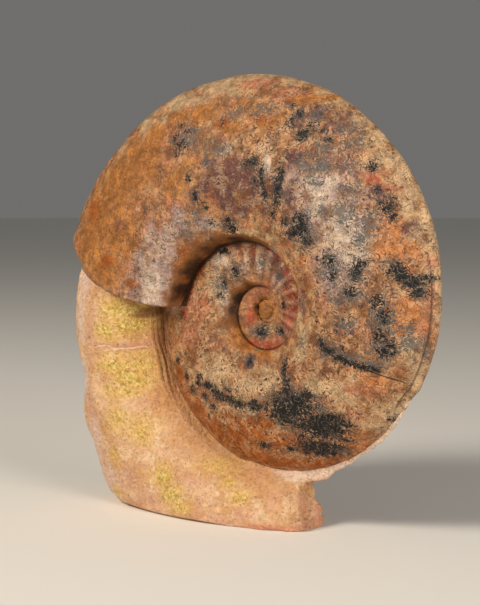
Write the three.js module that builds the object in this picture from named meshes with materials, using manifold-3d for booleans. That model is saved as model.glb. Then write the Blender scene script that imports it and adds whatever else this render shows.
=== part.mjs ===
// A large fossil ammonite that stands on the pale rock filling the space past its mouth.
// Millimetres, +Z up. The coil lies in the XZ plane, its front flank faces -Y, the shell
// grows counter-clockwise seen from the front, and its mouth is on the left, towards -X.

import * as THREE from 'three';
import { LoftGeometry } from 'three/addons/geometries/LoftGeometry.js';
import { ImprovedNoise } from 'three/addons/math/ImprovedNoise.js';
import { mergeVertices } from 'three/addons/utils/BufferGeometryUtils.js';
import Module from 'manifold-3d';

const degrees = THREE.MathUtils.degToRad;
const TURN = 2 * Math.PI;

// The coil: radii from its axis and the half breadth, all at the mouth angle
const COIL_START = degrees(-900);
const MOUTH_ANGLE = degrees(180);
const KEEL_RADIUS = 141;
const SHOULDER_RADIUS = 49.4;
const SEAM_RADIUS = 45.1;
const HALF_BREADTH = 31;

// How fast each one grows, per radian
const KEEL_GROWTH = 0.111;
const SHOULDER_GROWTH = 0.15;
const SEAM_GROWTH = 0.172;
const BREADTH_GROWTH = 0.12;

// The section of a whorl: where it is broadest, as a share of the way from the shoulder to
// the keel, how sharply it closes at the keel (0.5 is an ellipse, 1 a wedge), and how much
// narrower it is at the shoulder
const BROADEST = 0.32;
const OLD_SHARPNESS = 0.62;
const MOUTH_SHARPNESS = 0.5;
const SHOULDER_DROP = 0.22;

// The wall round the umbilicus drops from the shoulder to the seam, a little below the
// surface of the whorl inside it; the rest of the section is hidden inside that whorl
const WALL_LEAN = 0.65;
const WALL_DROP = 0.4;
const SEAM_EMBED = 0.4;
const HIDDEN_SHARE = 0.8;

// The mouth: its edge leans back towards the keel, and the last few degrees are pinched
const MOUTH_LEAN = degrees(11);
const MOUTH_CURVE = 1.1;
const LEAN_FROM = degrees(60);
const PINCH_FROM = degrees(164);
const PINCH = 0.075;

// The keel band along the outer edge
const KEEL_HEIGHT = 1.5;
const KEEL_HALF_WIDTH = 2.4;
const KEEL_ROUNDING = 0.3;
const KEEL_FROM = degrees(-34);
const KEEL_TO = degrees(60);
const KEEL_FADE = degrees(25);

// Where the keel is broken off, low on the right
const BROKEN_FROM = degrees(-96);
const BROKEN_TO = degrees(-26);
const BROKEN_DEPTH = 1.6;
const BROKEN_FADE = degrees(5);

// Ribs on the inner whorls
const RIBS_PER_TURN = 24;
const RIB_SHARE = 0.06;
const RIBS_FROM = degrees(-450);
const RIBS_TO = degrees(-200);
const RIBS_FADE = degrees(90);
const RIB_SICKLE = 0.08;

// The ball at the centre of the coil
const NUCLEUS_RADIUS = 7;
const NUCLEUS_HALF_THICKNESS = 5;

// The matrix: its outline past the mouth as angle in degrees, outer radius, half thickness
// and width of the hollow strip beside the coil
const MATRIX_OUTLINE = [
  { angle: 166, radius: 126, thickness: 27, strip: 14 },
  { angle: 184, radius: 129, thickness: 28, strip: 20 },
  { angle: 198, radius: 128, thickness: 27, strip: 26 },
  { angle: 212, radius: 142, thickness: 25, strip: 31 },
  { angle: 226, radius: 150, thickness: 23, strip: 32 },
  { angle: 255, radius: 148, thickness: 25, strip: 31 },
  { angle: 273, radius: 146, thickness: 19, strip: 28 },
  { angle: 280, radius: 142, thickness: 14, strip: 25 },
  { angle: 284, radius: 138, thickness: 10, strip: 21 },
];

// The strip starts from a thin lip that reaches under the coil; with a fullness of 1 it rises
// as a quarter wave, and with less it is fuller
const MATRIX_LIP = 4;
const MATRIX_UNDER_COIL = 8;
const STRIP_FULLNESS = 0.55;

// The height of its soft lumps and the distance between them
const MATRIX_ROUGHNESS = 1.2;
const MATRIX_LUMP = 24;

// The ragged rim of matrix left under the coil: angle in degrees and reach past the keel
const RIM_OUTLINE = [
  { angle: -96, reach: 2.2 },
  { angle: -83, reach: 3.6 },
  { angle: -76, reach: 5.3 },
  { angle: -67, reach: 4.7 },
  { angle: -62, reach: 2.3 },
  { angle: -50, reach: 0.9 },
  { angle: -40, reach: 1.4 },
  { angle: -29, reach: 0.5 },
  { angle: -22, reach: -1.5 },
];
const RIM_DEPTH = 6;
const RIM_HALF_WIDTH = 3;
const RIM_EDGE_HALF_WIDTH = 1.2;

// The foot: the level of the resting plane below the coil axis, and its outline, an oblong
// that is blunt at the right (a low power) and drawn out at the left
const FOOT_LEVEL = -110.2;
const FOOT_CENTRE_X = -36.5;
const FOOT_HALF_LENGTH = 63;
const FOOT_HALF_WIDTH = 21.5;
const FOOT_RIGHT_POWER = 0.7;
const FOOT_LEFT_POWER = 1.1;
const FOOT_ROUNDING = 5;

// Clear space between the fossil and the matrix
const CLEARANCE = 0.35;

// Facets
const OUTER_STEP = degrees(7.5);
const RIBBED_STEP = TURN / RIBS_PER_TURN / 3;
const INNER_STEP = degrees(10);
const MATRIX_STEP = degrees(4);
const RIM_STEP = degrees(3);
const FLANK_STEPS = 5;
const INNER_FLANK_STEPS = 3;
const MATRIX_FLANK_STEPS = 6;
const MATRIX_STRIP_STEPS = 4;
const FOOT_STEPS = 28;

const wasm = await Module();
wasm.setup();
const noise = new ImprovedNoise();

// Coil radii at any angle, in radians, counted on through every turn
function grown(atMouth, growth, angle) {
  return atMouth * Math.exp(growth * (angle - MOUTH_ANGLE));
}

function lean(angle) {
  return MOUTH_LEAN * THREE.MathUtils.smoothstep(angle, LEAN_FROM, MOUTH_ANGLE);
}

function keelRadius(angle) {
  const at = angle - lean(angle);
  const pinched = THREE.MathUtils.smoothstep(at, PINCH_FROM, MOUTH_ANGLE - MOUTH_LEAN);
  const broken = THREE.MathUtils.smoothstep(at, BROKEN_FROM - BROKEN_FADE, BROKEN_FROM)
    * (1 - THREE.MathUtils.smoothstep(at, BROKEN_TO, BROKEN_TO + BROKEN_FADE));
  return grown(KEEL_RADIUS, KEEL_GROWTH, at) * (1 - PINCH * pinched) - BROKEN_DEPTH * broken;
}

const shoulderRadius = (angle) => grown(SHOULDER_RADIUS, SHOULDER_GROWTH, angle);
const seamRadius = (angle) => grown(SEAM_RADIUS, SEAM_GROWTH, angle);
const halfBreadth = (angle) => grown(HALF_BREADTH, BREADTH_GROWTH, angle);

function venterSharpness(angle) {
  const late = THREE.MathUtils.smoothstep(angle, degrees(60), degrees(150));
  return THREE.MathUtils.lerp(OLD_SHARPNESS, MOUTH_SHARPNESS, late);
}

// Half thickness of a whorl at a radius
function flankHeight(angle, radius) {
  const shoulder = shoulderRadius(angle);
  const share = (radius - shoulder) / (keelRadius(angle) - shoulder);
  const inward = Math.max(0, (BROADEST - share) / BROADEST);
  const outward = THREE.MathUtils.clamp((share - BROADEST) / (1 - BROADEST), 0, 1);
  const inner = 1 - SHOULDER_DROP * inward ** 2;
  const outer = (1 - outward ** 2) ** venterSharpness(angle);
  return halfBreadth(angle) * (share < BROADEST ? inner : outer);
}

function keelHeight(angle) {
  const rise = THREE.MathUtils.smoothstep(angle, KEEL_FROM, KEEL_FROM + KEEL_FADE / 4);
  const fall = 1 - THREE.MathUtils.smoothstep(angle, KEEL_TO - KEEL_FADE, KEEL_TO);
  return KEEL_HEIGHT * rise * fall;
}

function ribHeight(angle, share) {
  const fade = THREE.MathUtils.smoothstep(angle, RIBS_FROM, RIBS_FROM + RIBS_FADE)
    * (1 - THREE.MathUtils.smoothstep(angle, RIBS_TO - RIBS_FADE, RIBS_TO));
  const sickle = RIB_SICKLE * Math.sin(Math.PI * share);
  const wave = Math.cos(RIBS_PER_TURN * (angle + sickle));
  const reach = Math.sin(Math.PI * THREE.MathUtils.clamp(share + 0.1, 0, 1));
  return RIB_SHARE * halfBreadth(angle) * fade * reach * wave;
}

// Points of one side of the section, from the keel to the seam, as radius and height
function halfSection(angle, grow) {
  const crest = keelRadius(angle) + grow;
  const keel = crest - keelHeight(angle);
  const shoulder = shoulderRadius(angle);
  const breadth = halfBreadth(angle) + grow;
  const broadest = shoulder + BROADEST * (keel - shoulder);
  const points = [[crest - keelHeight(angle) * KEEL_ROUNDING, KEEL_HALF_WIDTH + grow]];

  for (let i = 1; i <= FLANK_STEPS; i++) {
    const turn = degrees(90) * i / FLANK_STEPS;
    const share = BROADEST + (1 - BROADEST) * Math.cos(turn);
    const radius = broadest + (keel - broadest) * Math.cos(turn);
    const height = breadth * Math.sin(turn) ** (2 * venterSharpness(angle));
    points.push([radius, height + ribHeight(angle, share)]);
  }
  for (let i = 1; i <= INNER_FLANK_STEPS; i++) {
    const share = BROADEST * (1 - i / INNER_FLANK_STEPS);
    const drop = SHOULDER_DROP * (i / INNER_FLANK_STEPS) ** 2;
    points.push([shoulder + share * (keel - shoulder), breadth * (1 - drop) + ribHeight(angle, share)]);
  }

  const seam = seamRadius(angle);
  const seamHeight = flankHeight(angle - TURN, seam) - SEAM_EMBED;
  const shoulderHeight = breadth * (1 - SHOULDER_DROP);
  points.push([
    THREE.MathUtils.lerp(shoulder, seam, WALL_LEAN),
    THREE.MathUtils.lerp(shoulderHeight, seamHeight, WALL_DROP),
  ]);
  points.push([seam, seamHeight]);
  return points;
}

// One closed ring round the whorl, leaning back towards the keel near the mouth
function whorlRing(angle, grow) {
  const front = halfSection(angle, grow);
  const crest = keelRadius(angle) + grow;
  const hidden = HIDDEN_SHARE * seamRadius(angle);
  const back = front.map(([radius, height]) => [radius, -height]);
  const outline = [[crest, 0], ...back, [hidden, 0], ...front.toReversed()];
  const shoulder = shoulderRadius(angle);
  return outline.map(([radius, height]) => {
    const share = THREE.MathUtils.clamp((radius - shoulder) / (crest - shoulder), 0, 1);
    return spoke(angle - lean(angle) * share ** MOUTH_CURVE, radius, height);
  });
}

// A point at an angle and a radius of the coil, and a height above its middle plane
function spoke(angle, radius, height) {
  return new THREE.Vector3(radius * Math.cos(angle), -height, radius * Math.sin(angle));
}

function steps(from, to, size) {
  const count = Math.ceil((to - from) / size - 1e-6);
  return Array.from({ length: count + 1 }, (_, i) => THREE.MathUtils.lerp(from, to, i / count));
}

// Geometry to solid and back
function solid(geometry) {
  const bare = new THREE.BufferGeometry();
  bare.setAttribute('position', geometry.attributes.position);
  bare.setIndex(geometry.index);
  const merged = mergeVertices(bare, 1e-4);
  return new wasm.Manifold(new wasm.Mesh({
    numProp: 3,
    vertProperties: new Float32Array(merged.attributes.position.array),
    triVerts: new Uint32Array(merged.index.array),
  }));
}

function geometryOf(body) {
  const mesh = body.getMesh();
  const geometry = new THREE.BufferGeometry();
  geometry.setAttribute('position', new THREE.BufferAttribute(mesh.vertProperties, 3));
  geometry.setIndex(new THREE.BufferAttribute(mesh.triVerts, 1));
  return geometry;
}

function loft(rings) {
  return solid(new LoftGeometry(rings, { capStart: true, capEnd: true }));
}

// The main body alone, without the slivers that touching faces leave at a join
function withoutCrumbs(body) {
  return body.decompose().reduce((largest, part) => (part.volume() > largest.volume() ? part : largest));
}

// A ring drawn in to half its size: the blunt end that a stretch hides in its neighbour
function hiddenEnd(ring) {
  const middle = new THREE.Vector3();
  ring.forEach((point) => middle.addScaledVector(point, 1 / ring.length));
  return ring.map((point) => point.clone().lerp(middle, 0.5));
}

// The shell: half turns, each too short to meet itself, joined into one coil
function ammonite(grow) {
  const stretches = [
    [-900, -720, INNER_STEP],
    [-720, -540, INNER_STEP],
    [-540, -360, RIBBED_STEP],
    [-360, -180, RIBBED_STEP],
    [-180, 0, OUTER_STEP],
    [0, 180, OUTER_STEP],
  ];
  const nucleus = new THREE.SphereGeometry(NUCLEUS_RADIUS, 16, 10);
  nucleus.scale(1, NUCLEUS_HALF_THICKNESS / NUCLEUS_RADIUS, 1);
  let coil = solid(nucleus);
  for (const [from, to, step] of stretches) {
    const [start, end] = [degrees(from), degrees(to)];
    const rings = steps(start, end, step).map((angle) => whorlRing(angle, grow));
    if (start > COIL_START) {
      rings.unshift(hiddenEnd(whorlRing(start - step, grow)));
    }
    if (end < MOUTH_ANGLE) {
      rings.push(hiddenEnd(whorlRing(end + step, grow)));
    } else if (grow > 0) {
      rings.push(rings.at(-1).map((point) => point.clone().setZ(point.z - grow)));
    }
    coil = coil.add(loft(rings));
  }
  return withoutCrumbs(coil);
}

// Values between the rows of an outline, eased so that the surface has no kinks
function between(outline, angle, name) {
  const at = THREE.MathUtils.radToDeg(angle);
  const next = outline.findIndex((row) => row.angle >= at - 1e-6);
  const [low, high] = [outline[Math.max(next - 1, 0)], outline[next]];
  const share = THREE.MathUtils.smoothstep(at, low.angle, high.angle);
  return THREE.MathUtils.lerp(low[name], high[name], next === 0 ? 1 : share);
}

// The same point, pushed in or out by soft lumps of two sizes
function roughened(point) {
  const { x, y, z } = point.clone().divideScalar(MATRIX_LUMP);
  const push = noise.noise(x, y, z) + 0.5 * noise.noise(2 * x, 2 * y, 2 * z);
  const away = new THREE.Vector3(point.x / 4, point.y, point.z / 4).normalize();
  return point.addScaledVector(away, MATRIX_ROUGHNESS * push);
}

function matrixRing(angle) {
  const coilEdge = grown(KEEL_RADIUS, KEEL_GROWTH, angle - TURN);
  const outer = between(MATRIX_OUTLINE, angle, 'radius');
  const thickness = between(MATRIX_OUTLINE, angle, 'thickness');
  const strip = between(MATRIX_OUTLINE, angle, 'strip');
  const broadest = coilEdge + strip;
  const front = [];
  for (let i = 1; i <= MATRIX_FLANK_STEPS; i++) {
    const turn = degrees(90) * i / MATRIX_FLANK_STEPS;
    front.push([broadest + (outer - broadest) * Math.cos(turn), thickness * Math.sin(turn)]);
  }
  for (let i = 1; i <= MATRIX_STRIP_STEPS; i++) {
    const share = i / MATRIX_STRIP_STEPS;
    const rise = Math.cos(degrees(90) * share) ** STRIP_FULLNESS;
    front.push([broadest - strip * share, THREE.MathUtils.lerp(MATRIX_LIP, thickness, rise)]);
  }
  const back = front.map(([radius, height]) => [radius, -height]);
  const under = coilEdge - MATRIX_UNDER_COIL;
  const inner = [[under, -MATRIX_LIP / 2], [under, MATRIX_LIP / 2]];
  const outline = [[outer, 0], ...back, ...inner, ...front.toReversed()];
  return outline.map(([radius, height]) => roughened(spoke(angle, radius, height)));
}

function rimRing(angle) {
  const keel = keelRadius(angle);
  const reach = between(RIM_OUTLINE, angle, 'reach');
  const outline = [
    [keel + reach, -RIM_EDGE_HALF_WIDTH],
    [keel - RIM_DEPTH, -RIM_HALF_WIDTH],
    [keel - RIM_DEPTH, RIM_HALF_WIDTH],
    [keel + reach, RIM_EDGE_HALF_WIDTH],
  ];
  return outline.map(([radius, height]) => spoke(angle, radius, height));
}

// All the space above the resting plane, narrowed at its bottom to the rounded foot
function footSpace() {
  const wide = 3 * FOOT_ROUNDING + FOOT_HALF_LENGTH;
  return loft([
    footRing(0, 0),
    footRing(0.3 * FOOT_ROUNDING, 0.7 * FOOT_ROUNDING),
    footRing(FOOT_ROUNDING, 1.2 * FOOT_ROUNDING),
    footRing(1.2 * FOOT_ROUNDING, wide),
    footRing(-2 * FOOT_LEVEL, wide),
  ]);
}

function footRing(level, spread) {
  return Array.from({ length: FOOT_STEPS }, (_, i) => {
    const turn = TURN * i / FOOT_STEPS;
    const [along, across] = [Math.cos(turn), Math.sin(turn)];
    const power = along > 0 ? FOOT_RIGHT_POWER : FOOT_LEFT_POWER;
    return new THREE.Vector3(
      FOOT_CENTRE_X + (FOOT_HALF_LENGTH + spread) * Math.sign(along) * Math.abs(along) ** power,
      (FOOT_HALF_WIDTH + spread) * Math.sign(across) * Math.abs(across) ** power,
      FOOT_LEVEL + level,
    );
  });
}

function matrixStone() {
  const first = MATRIX_OUTLINE[0].angle;
  const last = MATRIX_OUTLINE.at(-1).angle;
  const body = loft(steps(degrees(first), degrees(last), MATRIX_STEP).map(matrixRing));
  const rimFrom = RIM_OUTLINE[0].angle;
  const rimTo = RIM_OUTLINE.at(-1).angle;
  const rim = loft(steps(degrees(rimFrom), degrees(rimTo), RIM_STEP).map(rimRing));
  return withoutCrumbs(body.intersect(footSpace()).add(rim).subtract(ammonite(CLEARANCE)));
}

function piece(name, body, colour, roughness) {
  const material = new THREE.MeshStandardMaterial({ color: colour, roughness, metalness: 0 });
  const mesh = new THREE.Mesh(geometryOf(body), material);
  mesh.name = name;
  return mesh;
}

const specimen = new THREE.Group();
specimen.add(piece('ammonite', ammonite(0), 0x9c6a4a, 0.5));
specimen.add(piece('matrix_stone', matrixStone(), 0xd2a47c, 0.8));

// The origin is under the middle of the specimen, on the plane that it stands on
const box = new THREE.Box3().setFromObject(specimen);
const centre = box.getCenter(new THREE.Vector3());
specimen.position.set(-centre.x, -centre.y, -box.min.z);
specimen.updateMatrixWorld(true);

export default specimen;
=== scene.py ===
"""The looks of a fossil ammonite and the rock that it stands on.

Shapes are worked out in millimetres in the coil's own frame: the coil axis runs through the
origin along Y, the coil lies in the XZ plane, its front flank faces -Y and its mouth is on the
left. finished_piece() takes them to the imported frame, in metres.
"""

import math

import bmesh
import bpy
import numpy as np
from mathutils import Matrix, Vector, noise


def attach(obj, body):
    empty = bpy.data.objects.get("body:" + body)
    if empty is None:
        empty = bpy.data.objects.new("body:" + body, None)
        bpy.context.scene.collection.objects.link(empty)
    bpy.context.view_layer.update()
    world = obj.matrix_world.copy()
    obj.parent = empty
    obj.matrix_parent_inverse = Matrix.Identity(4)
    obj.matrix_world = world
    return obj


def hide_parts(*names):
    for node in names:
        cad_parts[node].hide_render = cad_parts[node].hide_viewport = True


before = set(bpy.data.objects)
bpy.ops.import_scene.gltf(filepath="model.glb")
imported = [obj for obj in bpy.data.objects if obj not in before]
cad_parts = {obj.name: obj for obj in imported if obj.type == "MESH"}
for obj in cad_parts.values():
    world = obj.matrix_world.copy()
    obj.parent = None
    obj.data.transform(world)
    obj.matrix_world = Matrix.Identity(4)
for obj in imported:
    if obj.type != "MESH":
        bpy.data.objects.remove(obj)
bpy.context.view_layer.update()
scene = bpy.context.scene
noise.seed_set(19)  # noise_vector tilts the chips, and differs in each run without a seed

TURN = 2 * math.pi
MILLIMETRE = 0.001
COIL_AXIS = Vector((15.477, 0, 110.2))
MERGE = 0.002  # points of a mesh nearer than this are one
WELL_AWAY = 90  # further than any stain reaches, in mm

# The coil, as in the part's source: radii and half breadth at the mouth, growth per radian
MOUTH_ANGLE = math.radians(180)
KEEL_RADIUS, KEEL_GROWTH = 141, 0.111
SHOULDER_RADIUS, SHOULDER_GROWTH = 49.4, 0.15
SEAM_RADIUS, SEAM_GROWTH = 45.1, 0.172
HALF_BREADTH, BREADTH_GROWTH = 31, 0.12
BROADEST = 0.32
OLD_SHARPNESS, MOUTH_SHARPNESS = 0.62, 0.5
SHARPER_FROM, SHARPER_TO = math.radians(60), math.radians(150)
SHOULDER_DROP = 0.22
SEAM_EMBED = 0.4
HIDDEN_SHARE = 0.8
MOUTH_LEAN = math.radians(11)
MOUTH_CURVE = 1.1
MOUTH_CORNER, MOUTH_CORNER_SHARES = math.radians(9), (-0.05, 0.8)
LEAN_FROM = math.radians(60)
PINCH_FROM = math.radians(164)
PINCH = 0.075
NUCLEUS_RADIUS, NUCLEUS_HALF_THICKNESS = 7, 5

# The keel band, its side grooves and the shade painted in them, and the stretch where it is broken
# off
KEEL_HEIGHT = 1.5
KEEL_TOP, KEEL_SIDE = 1.8, 2.8
KEEL_GROOVE, KEEL_GROOVE_DEPTH, KEEL_GROOVE_WIDTH = 3.5, 0.35, 0.6
KEEL_LINES_DEPTH, KEEL_LINES_WANE, KEEL_LINES_WANE_TO = 5, 0.75, math.radians(30)
KEEL_FROM, KEEL_TO, KEEL_FADE = math.radians(-34), math.radians(60), math.radians(25)
BROKEN_FROM, BROKEN_TO, BROKEN_FADE = math.radians(-96), math.radians(-26), math.radians(5)
BROKEN_DEPTH = 1.6

# The ribs of the inner whorls
RIBS_PER_TURN = 24
RIB_SHARE = 0.06
RIBS_FROM, RIBS_TO, RIBS_FADE = math.radians(-450), math.radians(-200), math.radians(90)
RIB_SICKLE, RIB_DOWN_WALL = 0.08, 0.1

# Rings of the skin: degrees from, degrees between rings; then rows on each side of a ring
SKIN_STEPS = [(-900, 4), (-720, 2.4), (-540, 1.2), (-180, 0.8)]
KEEL_ROWS = [0.03, 0.06, 0.085, 0.11, 0.135, 0.165, 0.2, 0.24]
FLANK_ROWS, INNER_FLANK_ROWS, WALL_ROWS = 26, 9, 8

# The matrix, as in the part's source: degrees, outer radius, half thickness, hollow strip
MATRIX_OUTLINE = [
    (166, 126, 27, 14), (184, 129, 28, 20), (198, 128, 27, 26), (212, 142, 25, 31),
    (226, 150, 23, 32), (255, 148, 25, 31), (273, 146, 19, 28), (280, 142, 14, 25),
    (284, 138, 10, 21),
]
MATRIX_LIP = 4
STRIP_FULLNESS = 0.55
MATRIX_UNDER_COIL = 8
MATRIX_RINGS, MATRIX_FLANK_ROWS, MATRIX_STRIP_ROWS = 150, 30, 24
MATRIX_GRAIN = 0.9

# Folds in the matrix beside the coil: the degrees between which they fade in and out, and the
# distances in mm between which they end; their spacing and height in mm; how they slant and wander
FOLDS_FROM, FOLDS_TO, FOLDS_REACH = (180, 184), (208, 228), (5.6, 8)
FOLD_SPACING, FOLD_HEIGHT, FOLD_SLANT, FOLD_WANDER = 3, 0.7, 0.75, (1.6, 11, 0)

# Chips at its broken right end: the degrees and the distances from the coil's edge between which
# they begin, then their size, how far they stand off each other and how far they tilt, in mm
BREAK_DEGREES, BREAK_PAST = (280.5, 283), (4, 7)
CHIP, CHIP_STEP, CHIP_TILT = 5, 1.2, 5

# Swellings, dents and grains of both surfaces: height and size in mm, and a shift of the noise;
# the flank's swellings grow from its innermost whorl on
SWELLS_FROM = math.radians(-500)
FLANK_SWELLING, NUCLEUS_LUMPS = (0.55, 26, 0), (0.9, 2.6, 0)
FLANK_BUMPS = [(0.22, 8, 0), (0.1, 3.2, 0)]
MATRIX_BUMPS = [(1.1, 24, 0), (0.6, 9, 7), (0.34, 3.6, 0), (0.26, 1.9, 0)]

# The ragged rim under the coil: degrees, reach past the keel; then its teeth, as height in mm,
# width in degrees and a shift of the noise
RIM_OUTLINE = [
    (-96, 2.2), (-83, 3.6), (-76, 5.3), (-67, 4.7), (-62, 2.3), (-50, 0.9), (-40, 1.4), (-29, 0.5),
    (-22, -1.5),
]
RIM_DEPTH, RIM_HALF_WIDTH, RIM_EDGE_HALF_WIDTH = 6, 3, 1.2
RIM_TEETH = [(0.7, 2.3, 0), (0.5, 0.9, 5)]
RIM_RINGS = 90

# The foot that the matrix is cut to
FOOT_LEVEL = -110.2
FOOT_CENTRE_X, FOOT_HALF_LENGTH, FOOT_HALF_WIDTH = -36.5, 63, 21.5
FOOT_RIGHT_POWER, FOOT_LEFT_POWER = 0.7, 1.1
FOOT_ROUNDING = 5
FOOT_SMOOTH_BELOW, FOOT_ROUGH_ABOVE = 0.6, 3
FOOT_STEPS = 96

# Patches on the flank as x, z, half width and half height in mm from the coil axis, and strength
# out of ten
BLACK_PATCHES = [
    (28, -45, 13, 6, 10), (43, -55, 12, 5, 10), (38, -66, 11, 4, 10), (22, -50, 8, 5, 10),
    (-28, -40, 5, 1.8, 9.5), (-22, -44, 5, 1.8, 9.5), (-14, -46, 5, 1.8, 9.5),
    (-7, -48, 6, 1.8, 9.5), (4, -48, 6, 2.4, 9), (-36, -40, 4, 1.5, 7), (23, -47, 8, 3.6, 10),
    (31, -43, 7, 3.1, 10), (29, -49, 5, 2.6, 10), (18, -45, 3.2, 2, 9), (36, -40, 4, 2.6, 10),
    (24, -38, 2.5, 5, 9), (22, -28, 1.9, 5, 8), (31, -55, 8, 2, 10), (23, -53, 3.8, 2, 9),
    (41, -52, 7, 3.6, 10), (48, -51, 8, 3.1, 10), (49, -56, 7, 3.1, 10), (42, -59, 6, 2, 10),
    (55, -53, 4, 1.5, 9), (39, -68, 8, 2.6, 10), (47, -65, 5, 1.5, 9), (31, -69, 3.2, 2, 8),
    (31, -61, 3.8, 1.5, 7), (6, -68, 3.8, 2, 7), (23, -68, 4, 1.5, 6.5), (53, -61, 4, 1, 7),
    (85, 22, 3.8, 3.1, 9.5), (87, 19, 3.8, 2, 9), (91, 16, 4, 2.6, 9.5), (93, 12, 3.2, 2.6, 9.5),
    (95, 19, 3.8, 1.5, 8.5), (85, 25, 2.5, 1.5, 8), (91, 11, 1.9, 1.5, 8), (79, 52, 2.5, 4, 7.5),
    (76, 54, 2.5, 1.5, 7), (81, 47, 1.9, 2, 6), (36, 42, 4, 5, 8.5), (30, 39, 3.8, 2.6, 7.5),
    (39, 36, 3.8, 2.6, 7), (35, 47, 3.8, 2, 8), (27, 45, 2.5, 2.6, 6.5), (23, 62, 2.5, 5, 8.5),
    (21, 55, 2.5, 4, 7.5), (24, 68, 1.9, 3.1, 8), (19, 48, 2.5, 2.6, 6), (8, 74, 3.2, 2.6, 8),
    (4, 73, 2.5, 2, 7), (13, 67, 1.6, 5, 7.5), (15, 59, 1.9, 4, 7), (10, 64, 1.9, 2.6, 6),
    (-38, 83, 3.8, 2.6, 6), (-36, 90, 3.2, 1.5, 5), (-41, 79, 2.5, 2, 5), (-44, 87, 2.5, 2.6, 4),
    (-41, 93, 2.5, 1.5, 4), (-27, 56, 1.9, 3.1, 6), (-22, 52, 1.9, 2, 6), (-32, 67, 1.9, 3.1, 5.5),
    (-20, 44, 2.5, 2, 5), (-9, 44, 3.2, 2.6, 9), (-8, 40, 3.2, 1.5, 9), (-26, 32, 5, 1.5, 9.5),
    (-29, 29, 3.2, 2, 9.5), (-19, 35, 4, 1.5, 8), (-52, -29, 2.2, 1.5, 9.5),
    (-45, -37, 1.9, 3.1, 5.5), (-41, -44, 3.2, 2, 6), (0, -11, 3.8, 2.6, 8.5),
    (13, -10, 2.5, 1.8, 8), (15, 4, 1.6, 3.1, 7), (-13, 19, 2.5, 3.1, 6), (-20, 29, 3.2, 1.3, 9),
    (-20, 13, 1.9, 3.1, 5), (-23, 6, 2.5, 1.5, 5), (-2, -26, 2.5, 2.6, 7),
    (-29, -39, 3.2, 1.5, 7.5), (-24, -43, 3.2, 1.5, 7.5), (-19, -46, 3.2, 1.5, 8),
    (-12, -47, 3.8, 1.3, 8), (-5, -48, 3.8, 1.3, 7), (-31, -46, 2.5, 2, 8),
    (-26, -51, 2.5, 2, 6.5), (-14, -41, 2.5, 1.5, 5), (-34, -36, 2.5, 2, 5),
    (3, -46, 3.2, 1.5, 6.5), (11, -48, 2.5, 2.6, 6.5), (52, 26, 3.2, 3.1, 7),
    (54, 19, 3.2, 2.6, 5.5), (66, 21, 3.2, 5, 6.5), (63, 12, 3.2, 2.6, 7), (69, 26, 2.5, 2, 6),
    (76, 8, 3.2, 3.6, 6), (79, 0, 3.2, 5, 5.5), (77, -9, 4, 4, 5.5), (79, -16, 3.8, 3.1, 6),
    (81, -13, 3.2, 3.6, 4.5), (46, -14, 2.5, 2.6, 7.5), (50, -17, 3.8, 2, 8.5),
    (56, -20, 4, 1.5, 9), (62, -22, 4, 1.5, 9), (68, -24, 3.8, 1.5, 8.5), (73, -25, 3.8, 1.5, 8),
    (80, -48, 3.2, 0.8, 8), (76, -50, 1.9, 1, 6), (33, 87, 3.8, 2.6, 8), (29, 97, 3.2, 2, 7),
    (24, 101, 2.2, 1.5, 6), (26, 93, 2.5, 2.6, 5), (37, 91, 2.5, 2.6, 4), (47, 84, 3.2, 1.5, 5),
    (42, 89, 3.2, 1.5, 4), (-14, 94, 1.6, 2, 5), (69, 71, 2.5, 2.6, 5), (73, 60, 1.9, 2, 5),
]
GREY_PATCHES = [
    (-16, 81, 8, 4, 7), (-20, 75, 3.2, 4, 5.5), (-9, 99, 6, 3.1, 5.5), (8, 99, 8, 3.1, 4.5),
    (59, 49, 6, 5, 7), (72, 44, 6, 6, 8.5), (68, 37, 3.8, 4, 6), (46, 72, 9, 5, 7),
    (37, 72, 5, 4, 6), (57, 72, 6, 4, 6.5), (58, 82, 5, 3.6, 6), (46, 80, 5, 3.1, 6),
    (53, 89, 6, 3.1, 5), (38, 96, 4, 3.6, 5), (36, 42, 8, 7, 7), (49, 50, 3.8, 4, 5.5),
    (61, 60, 5, 3.1, 5), (42, 64, 5, 3.1, 5.5), (52, 23, 6, 6, 6), (66, 21, 5, 6, 6.5),
    (63, 10, 6, 3.6, 6.5), (55, 8, 4, 5, 4.5), (60, -4, 8, 4, 4), (79, -1, 6, 10, 7),
    (77, -13, 6, 6, 7.5), (81, -16, 5, 4, 6.5), (90, -12, 5, 4, 6.5), (89, -5, 3.2, 2.6, 4),
    (95, -15, 2.5, 7, 5), (51, -17, 6, 3.6, 7.5), (62, -20, 8, 2.6, 8), (72, -23, 6, 2.6, 7),
    (33, -15, 3.2, 4, 5), (26, -40, 9, 4, 6), (32, -47, 11, 5, 7), (42, -46, 6, 3.1, 6),
    (-13, 19, 5, 5, 6), (-22, 12, 5, 6, 4.5), (3, 24, 6, 3.1, 5), (13, 20, 4, 5, 5),
    (0, -11, 6, 3.6, 6), (13, -10, 3.8, 2.6, 5), (-36, 86, 8, 6, 5), (-9, 43, 6, 3.1, 5.5),
    (83, 26, 5, 3.1, 4), (-34, 39, 3.8, 6, 4.5), (-28, 48, 3.8, 4, 4.5),
]
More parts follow.
